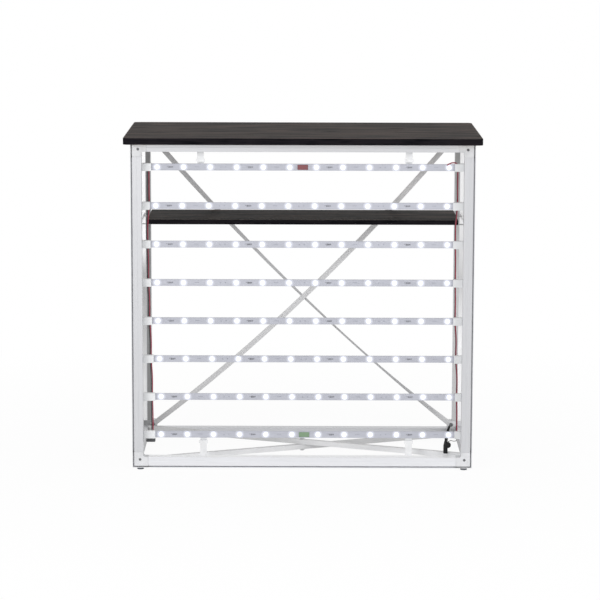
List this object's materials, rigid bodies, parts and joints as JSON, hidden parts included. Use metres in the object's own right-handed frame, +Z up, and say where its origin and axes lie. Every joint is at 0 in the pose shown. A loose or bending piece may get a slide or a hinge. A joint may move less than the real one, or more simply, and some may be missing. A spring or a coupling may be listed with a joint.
{
  "type": "exhibition counter",
  "caption": "Knock-down exhibition counter: satin aluminium box frame with a lift-off wood-grain top, an inner shelf, lensed light bars behind its open front and crossed straps behind.",
  "frame": {"origin": "on the floor, under the middle of the counter", "axes": "+Z up, -Y towards the front with the light bars, +X to the right seen from the front"},
  "size_m": [1.04, 0.53, 0.982],
  "materials": {
    "aluminium": "satin, off-white",
    "corner": "cast, satin",
    "zinc_steel": "zinc plated",
    "top_laminate": "dark wood-grain laminate",
    "shelf_laminate": "black laminate",
    "light_bar": "pale, with clear lenses",
    "hanger": "white",
    "red_insulation": "dark red",
    "black_insulation": "black",
    "webbing": "light grey woven",
    "foot": "dark grey"
  },
  "bodies": {
    "frame": {"base_bolt": "zinc_steel", "bottom_left_hanger": "hanger", "bottom_left_strap_screw": "zinc_steel", "bottom_right_hanger": "hanger", "bottom_right_strap_screw": "zinc_steel", "connector_tail": "red_insulation", "flat_strap": "webbing", "front_bottom_rail": "aluminium", "front_left_bottom_corner": "corner", "front_left_post": "aluminium", "front_left_shelf_pin": "zinc_steel", "front_left_top_corner": "corner", "front_right_bottom_corner": "corner", "front_right_post": "aluminium", "front_right_shelf_pin": "zinc_steel", "front_right_top_corner": "corner", "front_top_rail": "aluminium", "left_black_wire": "black_insulation", "left_bottom_depth_rail": "aluminium", "left_red_wire": "red_insulation", "left_shelf_rail": "aluminium", "left_top_depth_rail": "aluminium", "light_bar_1": "light_bar", "light_bar_2": "light_bar", "light_bar_3": "light_bar", "light_bar_4": "light_bar", "light_bar_5": "light_bar", "light_bar_6": "light_bar", "light_bar_7": "light_bar", "light_bar_8": "light_bar", "lower_base_bar": "aluminium", "power_connector": "black_insulation", "power_lead": "black_insulation", "rear_bottom_rail": "aluminium", "rear_left_bottom_corner": "corner", "rear_left_post": "aluminium", "rear_left_shelf_pin": "zinc_steel", "rear_left_top_corner": "corner", "rear_right_bottom_corner": "corner", "rear_right_post": "aluminium", "rear_right_shelf_pin": "zinc_steel", "rear_right_top_corner": "corner", "rear_top_rail": "aluminium", "right_black_wire": "black_insulation", "right_bottom_depth_rail": "aluminium", "right_red_wire": "red_insulation", "right_shelf_rail": "aluminium", "right_top_depth_rail": "aluminium", "top_left_hanger": "hanger", "top_left_strap_screw": "zinc_steel", "top_right_hanger": "hanger", "top_right_strap_screw": "zinc_steel", "twisted_strap": "webbing", "upper_base_bar": "aluminium"},
    "countertop_body": {"countertop": "top_laminate"},
    "shelf_body": {"shelf": "shelf_laminate"},
    "front_left_foot_body": {"front_left_foot": "foot"},
    "front_right_foot_body": {"front_right_foot": "foot"},
    "rear_left_foot_body": {"rear_left_foot": "foot"},
    "rear_right_foot_body": {"rear_right_foot": "foot"}
  },
  "joints": [
    {"name": "countertop_lift", "type": "slide", "parent": "frame", "child": "countertop_body", "axis": [0, 0, 1], "range_m": [0, 0.15]},
    {"name": "shelf_lift", "type": "slide", "parent": "frame", "child": "shelf_body", "axis": [0, 0, 1], "range_m": [0, 0.12]},
    {"name": "front_left_foot_screw", "type": "slide", "parent": "frame", "child": "front_left_foot_body", "axis": [0, 0, -1], "range_m": [0, 0.01]},
    {"name": "front_right_foot_screw", "type": "slide", "parent": "frame", "child": "front_right_foot_body", "axis": [0, 0, -1], "range_m": [0, 0.01]},
    {"name": "rear_left_foot_screw", "type": "slide", "parent": "frame", "child": "rear_left_foot_body", "axis": [0, 0, -1], "range_m": [0, 0.01]},
    {"name": "rear_right_foot_screw", "type": "slide", "parent": "frame", "child": "rear_right_foot_body", "axis": [0, 0, -1], "range_m": [0, 0.01]}
  ]
}
